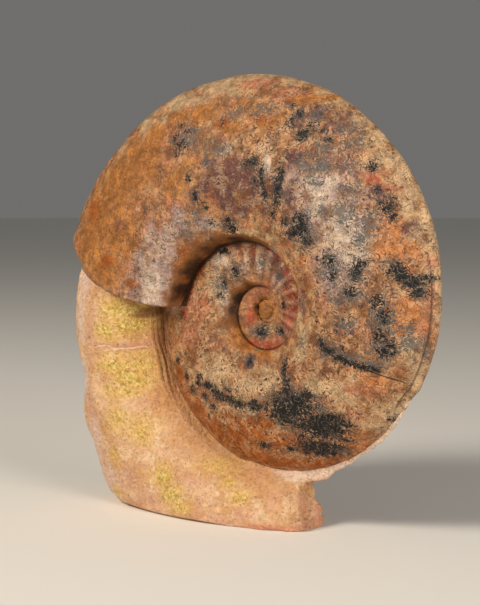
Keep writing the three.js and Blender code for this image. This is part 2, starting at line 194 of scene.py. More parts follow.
GOLD_PATCHES = [
    (-101, 36, 11, 20, 10), (-88, 55, 14, 18, 10), (-75, 71, 13, 14, 10), (-62, 76, 8, 11, 10),
    (-77, 37, 13, 13, 8.5), (-88, 18, 13, 8, 9), (-60, 89, 8, 6, 7.5), (-41, 63, 8, 8, 6),
    (-44, 97, 8, 4, 6), (-27, 99, 10, 5, 8), (-9, 92, 8, 3.1, 9), (12, 95, 9, 4, 8),
    (-3, 101, 13, 4, 5.5), (-33, 73, 3.8, 4, 5), (26, 104, 6, 3.1, 4), (38, 105, 8, 2, 6),
    (10, 85, 6, 4, 4.5), (11, 20, 3.2, 2.6, 3), (0, 0, 5, 5, 10), (-8, -19, 5, 2.4, 9),
    (5, -22, 7, 1.8, 10), (-14, -13, 3, 5, 9), (-57, -11, 2.5, 5, 6),
]
# Pale patches: pale mineral, with a painted sheen where they lie on the right flank and on the
# umbilical shoulder
PALE_AND_SHEEN_PATCHES = [
    (46, 56, 4, 5, 10), (44, 50, 3.2, 3.1, 6), (60, 37, 9, 6, 10), (57, 45, 5, 5, 7),
    (63, 29, 5, 3.1, 8), (70, 32, 3.2, 3.1, 5), (41, 63, 3.8, 3.1, 5), (51, 65, 5, 3.1, 5),
    (-57, 11, 5, 10, 6), (-21, 24, 6, 4, 3.5), (-20, 4, 3.2, 8, 3), (2, 24, 2.5, 5, 7),
    (-7, 23, 1.9, 4, 6), (12, 84, 5, 4, 5), (16, 72, 2.2, 5, 8), (-10, 80, 3.2, 2.6, 4),
]
# Lilac patches: a painted sheen, mostly on the right flank and on the umbilical shoulder by the
# mouth
LILAC_SHEEN_PATCHES = [
    (50, 52, 15, 16, 5), (56, 22, 12, 12, 5), (34, 62, 10, 8, 4), (60, 45, 7, 8, 8),
    (52, 60, 5, 5, 6), (67, 33, 4, 6, 7), (57, 35, 5, 5, 5), (-55, 35, 5, 8, 5),
    (-51, 23, 6, 10, 9), (-53, 11, 6, 6, 9), (-57, 3, 6, 4, 9), (-46, 35, 4, 8, 8),
    (-39, 44, 4, 7, 7), (-66, 11, 5, 6, 6), (-63, 23, 5, 6, 5), (-24, 43, 6, 4, 4),
    (9, 28, 6, 3.6, 5), (12, 16, 3.8, 5, 4),
]
ROSE_PATCHES = [
    (-69, 23, 9, 5, 5), (-56, 42, 9, 8, 5), (-40, 53, 8, 6, 5), (20, 107, 11, 4, 5),
    (-4, 114, 13, 3.1, 5), (56, 74, 6, 4, 5), (55, 69, 5, 3.1, 6), (71, 67, 6, 4, 8),
    (76, 60, 6, 4, 7), (-36, 22, 4, 8, 7), (-44, 3, 5, 10, 8), (-32, 1, 6, 7, 5),
    (-41, -15, 6, 8, 6), (-7, 4, 3.8, 9, 9), (9, -14, 6, 2.6, 8), (19, -4, 3.2, 5, 7),
    (1, 10, 6, 3.1, 7), (49, 8, 5, 8, 4), (60, -6, 10, 5, 4), (32, -37, 5, 3.1, 3),
    (38, -47, 3.2, 1.5, 7), (26, -61, 3.2, 1.5, 6), (97, 9, 3.2, 13, 4), (97, 26, 3.2, 5, 6),
    (65, -35, 8, 4, 4), (61, -48, 8, 4, 4), (35, 53, 5, 4, 5), (44, 46, 3.2, 4, 5),
    (13, 53, 5, 4, 4), (3, 65, 3.8, 5, 4), (-6, 71, 2.5, 3.1, 5), (34, 80, 5, 3.1, 4),
    (95, -6, 3.8, 7, 4),
]
ORANGE_PATCHES = [
    (82, 41, 8, 7, 10), (87, 32, 8, 6, 9), (90, 25, 5, 4, 7), (80, 32, 6, 4, 7),
    (75, 66, 6, 3.6, 6), (88, 6, 6, 4, 8), (93, 3, 5, 6, 8), (86, -2, 5, 4, 6),
    (94, -8, 3.8, 5, 5), (68, -6, 2.2, 6, 4), (71, -32, 9, 4, 5), (68, -29, 5, 2.6, 5),
    (37, 25, 3.8, 4, 5), (41, 15, 3.2, 5, 4), (62, -65, 9, 4, 7), (58, -58, 8, 3.1, 5),
    (31, 9, 2.5, 7, 4), (-61, 81, 6, 7, 8), (-32, 35, 3.8, 3.1, 4), (-16, 55, 5, 5, 4),
    (-28, 75, 5, 3.1, 4),
]
RUST_PATCHES = [
    (-47, -47, 4, 6, 9), (-38, -55, 5, 6, 10), (-28, -63, 6, 5, 10), (-18, -68, 9, 4, 10),
    (-6, -73, 10, 4, 10), (9, -76, 13, 3.1, 10), (24, -77, 14, 2.6, 10), (37, -75, 11, 2, 10),
    (51, -71, 9, 2, 8), (61, -66, 8, 2, 6), (-5, -61, 10, 4, 9), (10, -65, 10, 4, 9),
    (28, -66, 10, 4, 8), (-18, -55, 9, 3.1, 5), (-52, -37, 3.2, 6, 6), (6, -57, 10, 2.6, 5),
    (-37, 23, 5, 9, 4), (-14, 94, 5, 3.1, 4), (9, 95, 6, 2, 5), (-86, 23, 5, 4, 5),
    (-68, 11, 4, 3.1, 5), (-102, 50, 5, 7, 3),
]
PURPLE_PATCHES = [
    (0, 68, 12, 7, 9), (-9, 62, 8, 8, 8), (6, 60, 6, 8, 9), (13, 58, 2.5, 9, 9), (-8, 55, 6, 5, 7),
    (-21, 63, 5, 5, 6), (-17, 73, 6, 3.1, 5), (-1, 50, 6, 3.1, 6), (32, 76, 5, 3.1, 9),
    (30, 53, 3.8, 3.1, 8), (30, 60, 3.2, 4, 5), (74, 57, 5, 2, 9), (70, 60, 3.8, 2.6, 7),
    (21, 63, 4, 7, 6), (30, 94, 5, 5, 5), (38, 98, 6, 3.1, 5), (60, 6, 3.2, 3.1, 7),
    (32, 7, 3.8, 9, 3), (-2, -26, 3.2, 3.1, 8), (-28, 58, 3.2, 4, 5), (49, 94, 5, 4, 4),
    (0, -12, 4, 3.1, 6), (-66, 7, 3.8, 3.6, 5), (-78, 42, 3.8, 3.1, 3), (88, 42, 3.2, 4, 5),
]
RED_PATCHES = [
    (18, 21, 3.2, 3.1, 10), (22, 16, 3.2, 3.1, 10), (20, 10, 3.2, 3.1, 9), (24, 6, 2.5, 4, 8),
    (20, 0, 3.8, 2, 9), (17, -7, 2.5, 3.1, 7), (12, 27, 2.5, 3.1, 6), (7, 30, 1.9, 2.6, 5),
    (71, 64, 3.2, 2.6, 6), (-42, 9, 3.2, 6, 4), (-8, -5, 2.5, 5, 6), (7, -18, 8, 2, 8),
    (-4, -17, 3.8, 2, 7), (-45, -5, 3.8, 3.1, 5), (-47, -61, 3.2, 5, 6), (-19, 33, 3.2, 1.3, 6),
    (-27, 30, 1.9, 2, 6),
]
# Olive patches: olive-grey stains, and a painted highlight along the outer edge at the top and
# right
OLIVE_AND_EDGE_HIGHLIGHT_PATCHES = [
    (-26, 12, 5, 7, 4), (-20, 4, 4, 8, 4), (-23, -32, 11, 8, 7), (0, -38, 11, 6, 7),
    (10, -34, 9, 7, 6), (41, -36, 8, 5, 7), (55, -38, 9, 6, 6), (62, -30, 5, 3.1, 5),
    (-98, 64, 4, 9, 6), (-86, 80, 5, 8, 7), (-70, 95, 7, 6, 8), (-50, 106, 11, 5, 9),
    (-28, 114, 12, 5, 9), (-6, 118, 13, 4, 9), (20, 116, 12, 4, 8), (44, 109, 10, 5, 7),
    (99, 20, 5, 14, 9), (98, 38, 5, 12, 9), (94, 55, 5, 10, 8), (101, 4, 4, 12, 7),
    (45, 104, 10, 2.6, 5), (58, 95, 9, 4, 7), (68, 86, 8, 5, 8), (76, 77, 6, 6, 8),
    (82, 67, 6, 7, 8), (88, 55, 5, 8, 8), (92, 44, 4, 7, 7), (71, 74, 6, 6, 6), (77, 65, 5, 5, 4),
    (30, -2, 1.9, 11, 10), (34, -15, 2.5, 6, 7), (32, 31, 3.2, 4, 4), (35, -10, 2.5, 4, 7),
    (90, -13, 6, 5, 8), (91, -22, 4, 5, 6), (83, -40, 6, 4, 7), (77, -47, 6, 5, 8),
    (70, -53, 6, 3.6, 6), (88, -32, 3.8, 5, 5), (32, -20, 5, 4, 5), (9, -21, 8, 1.5, 5),
    (-13, 95, 13, 3.6, 3.5), (-34, 106, 9, 4, 5), (-47, 103, 6, 4, 5), (-59, 96, 6, 4, 4),
    (-20, 111, 13, 3.6, 4), (-20, 43, 5, 2.6, 4), (2, 39, 9, 2, 8), (16, 37, 5, 2, 5),
    (-42, -34, 3.8, 2, 4), (-51, -13, 2.5, 3.1, 4), (-14, -52, 10, 2, 5), (0, -51, 6, 2, 6),
]
# Where the wall of the umbilicus is darkened: brown dirt, with painted shade on its upper and left
# side, which faces away from the key light
DIRT_AND_SHADE_PATCHES = [
    (-39, 24, 9, 11, 10), (-27, 32, 9, 5, 10), (-46, 10, 5, 7, 10), (-10, 36, 13, 2, 9),
    (4, 33, 8, 2, 6), (-55, -3, 6, 5, 10), (-15, 8, 5, 7, 10), (-18, -1, 3.2, 6, 8),
    (-9, 13, 5, 2.6, 8), (-6, 2, 1.9, 3.1, 6), (-2, 6, 3.8, 1.5, 7), (17, 21, 2.5, 5, 2),
]
LINED_PATCHES = [
    (50, 25, 40, 60, 10), (10, -40, 55, 30, 10), (25, 70, 35, 30, 8), (0, 0, 30, 30, 6),
    (-45, 20, 20, 30, 5),
]
# The back's dark stains are the front's, turned round the coil axis
BACK_TURN = math.radians(140)

# The shares between which the wall of the umbilicus begins, the degrees between which septum
# lines do, how well they show everywhere, in their patches and inside, and how dark the wall is at
# its shoulder and at its seam: brown dirt with painted shade that deepens into the hollow
WALL_SHARES, LINED_TURNS = (0.14, -0.06), (-420, -300)
LINED_EVERYWHERE, LINED_PATCHED, LINED_INSIDE = 0.12, 1.3, 0.15
DIRT_AND_SHADE_AT_SHOULDER, DIRT_AND_SHADE_AT_SEAM = 0.96, 2.4

# Stains on the matrix, in the same way
OCHRE_STAINS = [
    (-81, -3, 11, 7, 10), (-79, -11, 9, 6, 9), (-89, -14, 9, 7, 8), (-81, -26, 19, 2, 4),
    (-86, -33, 11, 5, 9), (-78, -40, 10, 7, 10), (-74, -32, 6, 5, 8), (-82, -46, 13, 5, 6),
    (-83, -62, 10, 10, 5), (-70, -67, 9, 10, 5.5), (-53, -89, 8, 7, 8), (-46, -98, 9, 6, 10),
    (-40, -104, 9, 4, 7), (-14, -89, 5, 4, 5), (-7, -95, 6, 4, 7), (-88, -82, 5, 8, 4),
    (-91, -102, 6, 4, 5), (-25, -82, 13, 5, 3.5),
]
ROSE_STAINS = [
    (-106, 9, 5, 10, 8), (-100, -15, 3.8, 15, 8), (-106, -53, 5, 12, 7), (-104, -70, 6, 6, 8),
    (-102, -81, 6, 7, 7), (-96, -94, 8, 7, 8), (-78, -94, 10, 7, 6), (-62, -103, 10, 4, 6),
    (-4, -104, 4, 4, 7), (-12, -108, 9, 2, 7), (-81, -22, 15, 1.3, 8), (-71, -52, 8, 4, 3),
    (-34, -90, 13, 6, 4), (-71, -107, 19, 4, 5), (-26, -107, 25, 3.1, 5), (-102, -61, 2.5, 2.6, 9),
]
FRACTURE_STAINS = [
    (29, -97, 4, 8, 10), (30, -105, 4, 6, 10), (29, -92, 5, 6, 10), (12, -109, 12, 2, 8),
]
BLEACHED_STAINS = [
    (-110, 18, 8, 14, 10), (-103, 26, 9, 5, 9), (-111, -8, 5, 14, 9), (-110, -40, 5, 14, 8),
    (-105, -75, 7, 12, 8), (-96, -96, 8, 10, 9), (-92, 17, 10, 3, 5),
]
# Under the mouth's edge: a brown groove with painted shade, which the matrix's relief does not
# have
GROOVE_AND_SHADE_STAINS = [
    (-66, -3, 3, 3, 10), (-70, -4, 5, 2, 10), (-74, -6, 4, 1.5, 6), (-62, 1, 4, 4, 10),
]

# The vein's level and ends in mm and how it wanders, in the same way as the bumps; the distances
# between which the contact with the coil is brown, and the degrees where this ends; the degrees
# between which the white rim begins and widens, its reach and its soft edge in mm
VEIN_LEVEL, VEIN_FROM, VEIN_TO, VEIN_WANDER = -23, -98, -72, [(1.6, 9, 0), (0.9, 2.6, 0)]
CONTACT_PAST, CONTACT_TO = (16.8, 0.8), 284
RIM_SHOWS, RIM_WIDENS, RIM_REACH, RIM_FADE = (264, 282), (266, 288), (1.2, 5.5), 3.5

# The crack across the right flank: degrees before and after its bend, then the shares of the way
# from shoulder to keel between which it bends, begins and ends
CRACK_DEGREES, CRACK_BEND = (-12.3, -20), (0.21, 0.37)
CRACK_BEGINS, CRACK_ENDS = (0.12, 0.25), (0.93, 1)
# Its depth in mm and width in degrees, and those of the raised lip on its far side
CRACK_DEPTH, CRACK_WIDTH, CRACK_LIP, CRACK_LIP_WIDTH = 0.45, 0.7, 0.35, 5
# The degrees that all this reaches, and how many mm off the crack its ends are taken to be
CRACK_REACH, CRACK_END_AWAY = 12, 6


def smoothstep(value, low, high):
    share = min(max((value - low) / (high - low), 0), 1)
    return share * share * (3 - 2 * share)


def lerp(low, high, share):
    return low + (high - low) * share


# The coil


def grown(at_mouth, growth, angle):
    return at_mouth * math.exp(growth * (angle - MOUTH_ANGLE))


def lean(angle):
    return MOUTH_LEAN * smoothstep(angle, LEAN_FROM, MOUTH_ANGLE)


def keel_radius(angle):
    at = angle - lean(angle)
    pinched = smoothstep(at, PINCH_FROM, MOUTH_ANGLE - MOUTH_LEAN)
    broken = smoothstep(at, BROKEN_FROM - BROKEN_FADE, BROKEN_FROM)
    broken *= 1 - smoothstep(at, BROKEN_TO, BROKEN_TO + BROKEN_FADE)
    return grown(KEEL_RADIUS, KEEL_GROWTH, at) * (1 - PINCH * pinched) - BROKEN_DEPTH * broken


def shoulder_radius(angle):
    return grown(SHOULDER_RADIUS, SHOULDER_GROWTH, angle)


def seam_radius(angle):
    return grown(SEAM_RADIUS, SEAM_GROWTH, angle)


def half_breadth(angle):
    return grown(HALF_BREADTH, BREADTH_GROWTH, angle)


def venter_sharpness(angle):
    return lerp(OLD_SHARPNESS, MOUTH_SHARPNESS, smoothstep(angle, SHARPER_FROM, SHARPER_TO))


def flank_height(angle, radius):
    """Half thickness of a whorl at a radius."""
    shoulder = shoulder_radius(angle)
    share = (radius - shoulder) / (keel_radius(angle) - shoulder)
    if share < BROADEST:
        return half_breadth(angle) * (1 - SHOULDER_DROP * ((BROADEST - share) / BROADEST) ** 2)
    outward = min((share - BROADEST) / (1 - BROADEST), 1)
    return half_breadth(angle) * (1 - outward**2) ** venter_sharpness(angle)


def keel_rise(angle, lateral):
    """How much of the keel band there is here, and its height, with a groove on each side."""
    along = smoothstep(angle, KEEL_FROM, KEEL_FROM + KEEL_FADE / 4)
    along *= 1 - smoothstep(angle, KEEL_TO - KEEL_FADE, KEEL_TO)
    band = KEEL_HEIGHT * (1 - smoothstep(lateral, KEEL_TOP, KEEL_SIDE))
    groove = KEEL_GROOVE_DEPTH * math.exp(-(((lateral - KEEL_GROOVE) / KEEL_GROOVE_WIDTH) ** 2))
    return along, band - groove


def rib_wave(angle, share):
    """1 on the crest of a rib, -1 between two, fading out along the coil and at its edges."""
    fade = smoothstep(angle, RIBS_FROM, RIBS_FROM + RIBS_FADE)
    fade *= 1 - smoothstep(angle, RIBS_TO - RIBS_FADE, RIBS_TO)
    wave = math.cos(RIBS_PER_TURN * (angle + RIB_SICKLE * math.sin(math.pi * share)))
    return fade * math.sin(math.pi * min(max(share + RIB_DOWN_WALL, 0), 1)) * wave


def rib_height(angle, share):
    return RIB_SHARE * half_breadth(angle) * rib_wave(angle, share)


def half_section(angle):
    """One side of a ring, from beside the keel to the seam, as radius, height and share."""
    along, _ = keel_rise(angle, 0)
    keel = keel_radius(angle) - KEEL_HEIGHT * along
    shoulder = shoulder_radius(angle)
    breadth = half_breadth(angle)
    broadest = shoulder + BROADEST * (keel - shoulder)
    power = 2 * venter_sharpness(angle)
    rows = []
    turn = 0
    for row in KEEL_ROWS:
        turn = math.asin(row ** (1 / power))
        lateral = row * breadth
        rise = along * keel_rise(angle, lateral)[1]
        share = BROADEST + (1 - BROADEST) * math.cos(turn)
        rows.append((broadest + (keel - broadest) * math.cos(turn) + rise, lateral, share))
    beside_keel = turn
    for i in range(1, FLANK_ROWS + 1):
        turn = lerp(beside_keel, math.pi / 2, i / FLANK_ROWS)
        share = BROADEST + (1 - BROADEST) * math.cos(turn)
        height = breadth * math.sin(turn) ** power + rib_height(angle, share)
        rows.append((broadest + (keel - broadest) * math.cos(turn), height, share))
    for i in range(1, INNER_FLANK_ROWS + 1):
        share = BROADEST * (1 - i / INNER_FLANK_ROWS)
        drop = SHOULDER_DROP * (i / INNER_FLANK_ROWS) ** 2
        height = breadth * (1 - drop) + rib_height(angle, share)
        rows.append((shoulder + share * (keel - shoulder), height, share))
    seam = seam_radius(angle)
    seam_height = flank_height(angle - TURN, seam) - SEAM_EMBED
    top = rows[-1][1]
    for i in range(1, WALL_ROWS + 1):
        turn = math.pi / 2 * i / WALL_ROWS
        radius = lerp(shoulder, seam, math.sin(turn))
        rows.append((radius, lerp(top, seam_height, 1 - math.cos(turn)), -i / WALL_ROWS))
    return rows


def spoke(angle, radius, height):
    return Vector((radius * math.cos(angle), -height, radius * math.sin(angle)))


def coil_ring(angle):
    """A whole ring as points and shares: hidden side, front, keel, back, hidden side."""
    front = half_section(angle)
    along, crest_rise = keel_rise(angle, 0)
    crest = keel_radius(angle) - KEEL_HEIGHT * along + along * crest_rise
    hidden = (HIDDEN_SHARE * seam_radius(angle), 0, -1)
    behind = [(radius, -height, share) for radius, height, share in front]
    outline = [hidden, *reversed(front), (crest, 0, 1), *behind, hidden]
    shoulder = shoulder_radius(angle)
    corner = MOUTH_CORNER * smoothstep(angle, MOUTH_ANGLE - 3 * MOUTH_CORNER, MOUTH_ANGLE)
    ring = []
    for radius, height, share in outline:
        leaning = min(max((radius - shoulder) / (crest - shoulder), 0), 1) ** MOUTH_CURVE
        back = lean(angle) * leaning + corner * smoothstep(-share, *MOUTH_CORNER_SHARES)
        ring.append((spoke(angle - back, radius, height), share))
    return ring


def wrapped_grid(bm, rings):
    """A grid laid over the rings, closed round each of them; returns its vertices by ring."""
    columns, rows = len(rings), len(rings[0])
    made = bmesh.ops.create_grid(bm, x_segments=columns - 1, y_segments=rows - 1, size=0.5)
    laid = []
    for vert in made["verts"]:
        ring = round((vert.co.x + 0.5) * (columns - 1))
        row = round((vert.co.y + 0.5) * (rows - 1))
        vert.co = rings[ring][row]
        laid.append((vert, ring, row))
    return laid


def close_ends(bm):
    """Closes open ends: their edges are extruded, laid on the middle plane and merged."""
    rims = [edge for edge in bm.edges if edge.is_boundary]
    made = bmesh.ops.extrude_edge_only(bm, edges=rims)["geom"]
    lids = [item for item in made if isinstance(item, bmesh.types.BMVert)]
    bmesh.ops.scale(bm, vec=(1, 0, 1), verts=lids)
    bmesh.ops.remove_doubles(bm, verts=lids, dist=MERGE)


def fill_ends(bm):
    bmesh.ops.holes_fill(bm, edges=bm.edges, sides=0)


def closed_mesh(rings, close):
    """A mesh laid over the rings, with its ends closed by one of the two functions above."""
    bm = bmesh.new()
    wrapped_grid(bm, rings)
    bmesh.ops.remove_doubles(bm, verts=bm.verts, dist=MERGE)
    close(bm)
    bmesh.ops.recalc_face_normals(bm, faces=bm.faces)
    return bm


def coil_angles():
    """Whorl angles of the rings, from the centre to the mouth."""
    ends = [start for start, _ in SKIN_STEPS[1:]] + [180]
    angles = []
    for (start, step), end in zip(SKIN_STEPS, ends):
        count = round((end - start) / step)
        angles += [math.radians(start + (end - start) * i / count) for i in range(count)]
    return angles + [MOUTH_ANGLE]


def crack_step(angle, share):
    """Degrees past the crack at one share of the flank, and how far along it this is."""
    degrees = math.degrees(angle)
    bend = lerp(*CRACK_DEGREES, smoothstep(share, *CRACK_BEND))
    inside = smoothstep(share, *CRACK_BEGINS) * (1 - smoothstep(share, *CRACK_ENDS))
    return degrees - bend, inside


def bumps(point, rows):
    """Height of the noise bumps at a point."""
    shifted = [(height, point / size + Vector((shift, 0, 0))) for height, size, shift in rows]
    return sum(height * noise.noise(place) for height, place in shifted)


def flank_relief(point, angle, share):
    """How far the weathered surface stands out, in mm."""
    swollen = smoothstep(angle, SWELLS_FROM, 0)
    relief = swollen * bumps(point, [FLANK_SWELLING]) + bumps(point, FLANK_BUMPS)
    if point.length < NUCLEUS_RADIUS + 1:
        relief += bumps(point, [NUCLEUS_LUMPS])
    past, inside = crack_step(angle, share)
    if abs(past) < CRACK_REACH:
        relief -= CRACK_DEPTH * inside * math.exp(-((past / CRACK_WIDTH) ** 2))
        if past > 0:
            relief += CRACK_LIP * inside * math.exp(-past / CRACK_LIP_WIDTH)
    return relief


def coil_mesh():
    bm = bmesh.new()
    turn_layer = bm.verts.layers.float.new("turn")
    share_layer = bm.verts.layers.float.new("share")
    angles = coil_angles()
    rings = [coil_ring(angle) for angle in angles]
    points = [[point for point, _ in ring] for ring in rings]
    for vert, ring, row in wrapped_grid(bm, points):
        vert[turn_layer] = angles[ring]
        vert[share_layer] = rings[ring][row][1]
    bmesh.ops.remove_doubles(bm, verts=bm.verts, dist=MERGE)
    close_ends(bm)
    nucleus = Matrix.Diagonal((1, NUCLEUS_HALF_THICKNESS / NUCLEUS_RADIUS, 1, 1))
    ball = bmesh.ops.create_uvsphere(
        bm, u_segments=48, v_segments=24, radius=NUCLEUS_RADIUS, matrix=nucleus
    )
    for vert in ball["verts"]:
        vert[turn_layer] = angles[0]
        vert[share_layer] = 0.5
    bmesh.ops.recalc_face_normals(bm, faces=bm.faces)
    bm.normal_update()
    moves = [(v, flank_relief(v.co, v[turn_layer], v[share_layer])) for v in bm.verts]
    for vert, relief in moves:
        vert.co += relief * vert.normal
    return bm


# The matrix


def between(outline, at):
    """The values between two rows of an outline, eased so that the surface has no kinks."""
    for low, high in zip(outline, outline[1:]):
        if at <= high[0] + 1e-6:
            share = smoothstep(at, low[0], high[0])
            return [lerp(a, b, share) for a, b in zip(low[1:], high[1:])]
    return list(outline[-1][1:])


def matrix_ring(degrees):
    angle = math.radians(degrees)
    coil_edge = grown(KEEL_RADIUS, KEEL_GROWTH, angle - TURN)
    outer, thickness, strip = between(MATRIX_OUTLINE, degrees)
    broadest = coil_edge + strip
    front = []
    for i in range(1, MATRIX_FLANK_ROWS + 1):
        turn = math.pi / 2 * i / MATRIX_FLANK_ROWS
        front.append((broadest + (outer - broadest) * math.cos(turn), thickness * math.sin(turn)))
    for i in range(1, MATRIX_STRIP_ROWS + 1):
        share = i / MATRIX_STRIP_ROWS
        rise = max(math.cos(math.pi / 2 * share), 0) ** STRIP_FULLNESS
        front.append((broadest - strip * share, lerp(MATRIX_LIP, thickness, rise)))
    back = [(radius, -height) for radius, height in front]
    under = (coil_edge - MATRIX_UNDER_COIL, 0)
    outline = [under, *reversed(front), (outer, 0), *back, under]
    return [spoke(angle, radius, height) for radius, height in outline]


def matrix_body():
    first, last = MATRIX_OUTLINE[0][0], MATRIX_OUTLINE[-1][0]
    rings = [matrix_ring(lerp(first, last, i / MATRIX_RINGS)) for i in range(MATRIX_RINGS + 1)]
    return closed_mesh(rings, close_ends)


def rim_body():
    first, last = RIM_OUTLINE[0][0], RIM_OUTLINE[-1][0]
    rings = []
    for i in range(RIM_RINGS + 1):
        degrees = lerp(first, last, i / RIM_RINGS)
        angle = math.radians(degrees)
        keel = keel_radius(angle)
        (reach,) = between(RIM_OUTLINE, degrees)
        for height, width, shift in RIM_TEETH:
            reach += height * noise.noise(Vector((degrees / width, shift, 0)))
        outer, inner = keel + reach, keel - RIM_DEPTH
        outline = [
            (inner, 0),
            (inner, RIM_HALF_WIDTH),
            (outer, RIM_EDGE_HALF_WIDTH),
            (outer, -RIM_EDGE_HALF_WIDTH),
            (inner, -RIM_HALF_WIDTH),
            (inner, 0),
        ]
        rings.append([spoke(angle, radius, height) for radius, height in outline])
    return closed_mesh(rings, close_ends)


def foot_space():
    """All the space above the resting plane, narrowed at its bottom to the rounded foot."""
    wide = 3 * FOOT_ROUNDING + FOOT_HALF_LENGTH
    levels = [
        (0, 0),
        (0.3 * FOOT_ROUNDING, 0.7 * FOOT_ROUNDING),
        (FOOT_ROUNDING, 1.2 * FOOT_ROUNDING),
        (1.2 * FOOT_ROUNDING, wide),
        (-2 * FOOT_LEVEL, wide),
    ]
    rings = []
    for level, spread in levels:
        ring = []
        for i in range(FOOT_STEPS + 1):
            along = math.cos(TURN * i / FOOT_STEPS)
            across = math.sin(TURN * i / FOOT_STEPS)
            power = FOOT_RIGHT_POWER if along > 0 else FOOT_LEFT_POWER
            x = (FOOT_HALF_LENGTH + spread) * math.copysign(abs(along) ** power, along)
            y = (FOOT_HALF_WIDTH + spread) * math.copysign(abs(across) ** power, across)
            ring.append(Vector((FOOT_CENTRE_X + x, y, FOOT_LEVEL + level)))
        rings.append(ring)
    return closed_mesh(rings, fill_ends)


def loose_object(name, bm):
    """A new object that holds a mesh."""
    mesh = bpy.data.meshes.new(name)
    bm.to_mesh(mesh)
    bm.free()
    made = bpy.data.objects.new(name, mesh)
    scene.collection.objects.link(made)
    return made


def baked(thing):
    """The mesh of an object after its modifiers."""
    graph = bpy.context.evaluated_depsgraph_get()
    graph.update()
    bm = bmesh.new()
    bm.from_object(thing, graph)
    return bm


def past_coil_edge(point):
    """Degrees round the coil, and the distance out from its edge in mm."""
    degrees = math.degrees(math.atan2(point[2], point[0])) % 360
    edge = grown(KEEL_RADIUS, KEEL_GROWTH, math.radians(degrees) - TURN)
    return degrees, math.hypot(point[0], point[2]) - edge


def fold_wave(point):
    """Folds that run beside the coil: 1 on a crest, -1 in a gap, 0 away from them."""
    degrees, past = past_coil_edge(point)
    along = smoothstep(degrees, *FOLDS_FROM) * (1 - smoothstep(degrees, *FOLDS_TO))
    up_slope = past + FOLD_SLANT * (abs(point[1]) - MATRIX_LIP)
    up_slope += bumps(Vector(point), [FOLD_WANDER])
    across = 1 - smoothstep(up_slope, *FOLDS_REACH)
    return along * across * math.cos(TURN * up_slope / FOLD_SPACING)


def matrix_relief(point):
    """How far the rock's surface stands out, in mm: lumps, dents, grit, folds and chips."""
    relief = bumps(point, MATRIX_BUMPS) + FOLD_HEIGHT * fold_wave(point)
    degrees, past = past_coil_edge(point)
    broken = smoothstep(degrees, *BREAK_DEGREES) * smoothstep(past, *BREAK_PAST)
    if broken > 0:
        _, centres = noise.voronoi(point / CHIP)
        tilt = noise.noise_vector(centres[0] * 3.7)  # neighbouring chips get unlike tilts
        off_centre = point / CHIP - centres[0]
        relief += broken * (CHIP_STEP * tilt.x + CHIP_TILT * tilt.dot(off_centre))
    return relief


def matrix_mesh():
    body = loose_object("body", matrix_body())
    space = loose_object("space", foot_space())
    rim = loose_object("rim", rim_body())
    for name, operation, other in [
        ("cut to the foot", "INTERSECT", space),
        ("join the rim", "UNION", rim),
    ]:
        step = body.modifiers.new(name, "BOOLEAN")
        step.operation = operation
        step.solver = "MANIFOLD"
        step.object = other
    even = body.modifiers.new("even mesh", "REMESH")
    even.mode = "VOXEL"
    even.voxel_size = MATRIX_GRAIN
    bm = baked(body)
    for thing in (body, space, rim):
        bpy.data.objects.remove(thing)
    bm.normal_update()
    moves = [(v, matrix_relief(v.co)) for v in bm.verts]
    for vert, relief in moves:
        lift = smoothstep(vert.co.z - FOOT_LEVEL, FOOT_SMOOTH_BELOW, FOOT_ROUGH_ABOVE)
        vert.co += relief * lift * vert.normal
        vert.co.z = max(vert.co.z, FOOT_LEVEL)
    return bm


# Pieces


def finished_piece(name, bm):
    """The object of a finished mesh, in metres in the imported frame, riding on the part."""
    bmesh.ops.translate(bm, vec=COIL_AXIS, verts=bm.verts)
    bmesh.ops.scale(bm, vec=(MILLIMETRE,) * 3, verts=bm.verts)
    made = loose_object(name, bm)
    for face in made.data.polygons:
        face.use_smooth = True
    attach(made, "root")
    return made


def places(piece):
    """The points of a piece in millimetres from the coil axis."""
    points = np.empty(len(piece.data.vertices) * 3)
    piece.data.vertices.foreach_get("co", points)
    return points.reshape(-1, 3) / MILLIMETRE - np.array(COIL_AXIS)


def patchwork(points, patches):
    """1 at the middle of a patch, a half at its edge, 0 well outside."""
    inside = np.zeros(len(points))
    for x, z, width, height, strength in patches:
        away = np.hypot((points[:, 0] - x) / width, (points[:, 2] - z) / height)
        inside = np.maximum(inside, (0.5 + strength / 20) * np.clip(1 - away / 2, 0, 1))
    return inside


def ramp(values, low, high):
    """0 at low, 1 at high, straight in between."""
    return np.clip((values - low) / (high - low), 0, 1)


def note(piece, name, values):
    """Keeps one number per vertex for the material to read."""
    layer = piece.data.attributes.new(name, "FLOAT", "POINT")
    layer.data.foreach_set("value", np.asarray(values, dtype=np.float32))


def noted(piece, name):
    """Reads back one number per vertex."""
    values = np.empty(len(piece.data.vertices), dtype=np.float32)
    piece.data.attributes[name].data.foreach_get("value", values)
    return values


def crack_distances(points, turn, share):
    """Distance across the crack in mm, positive towards the mouth; large where it has ended."""
    distances = []
    for point, angle, at in zip(points, turn, share):
        past, inside = crack_step(angle, at)
        away = math.radians(past) * math.hypot(point[0], point[2])
        distances.append(away + math.copysign(CRACK_END_AWAY * (1 - inside), away))
    return distances


def to_next_seam(point, angle):
    """Distance to the next whorl's wall as a share of its radius; large on the outermost whorl."""
    if angle + TURN > MOUTH_ANGLE:
        return 1
    return 1 - math.hypot(point[0], point[2]) / seam_radius(angle + TURN)


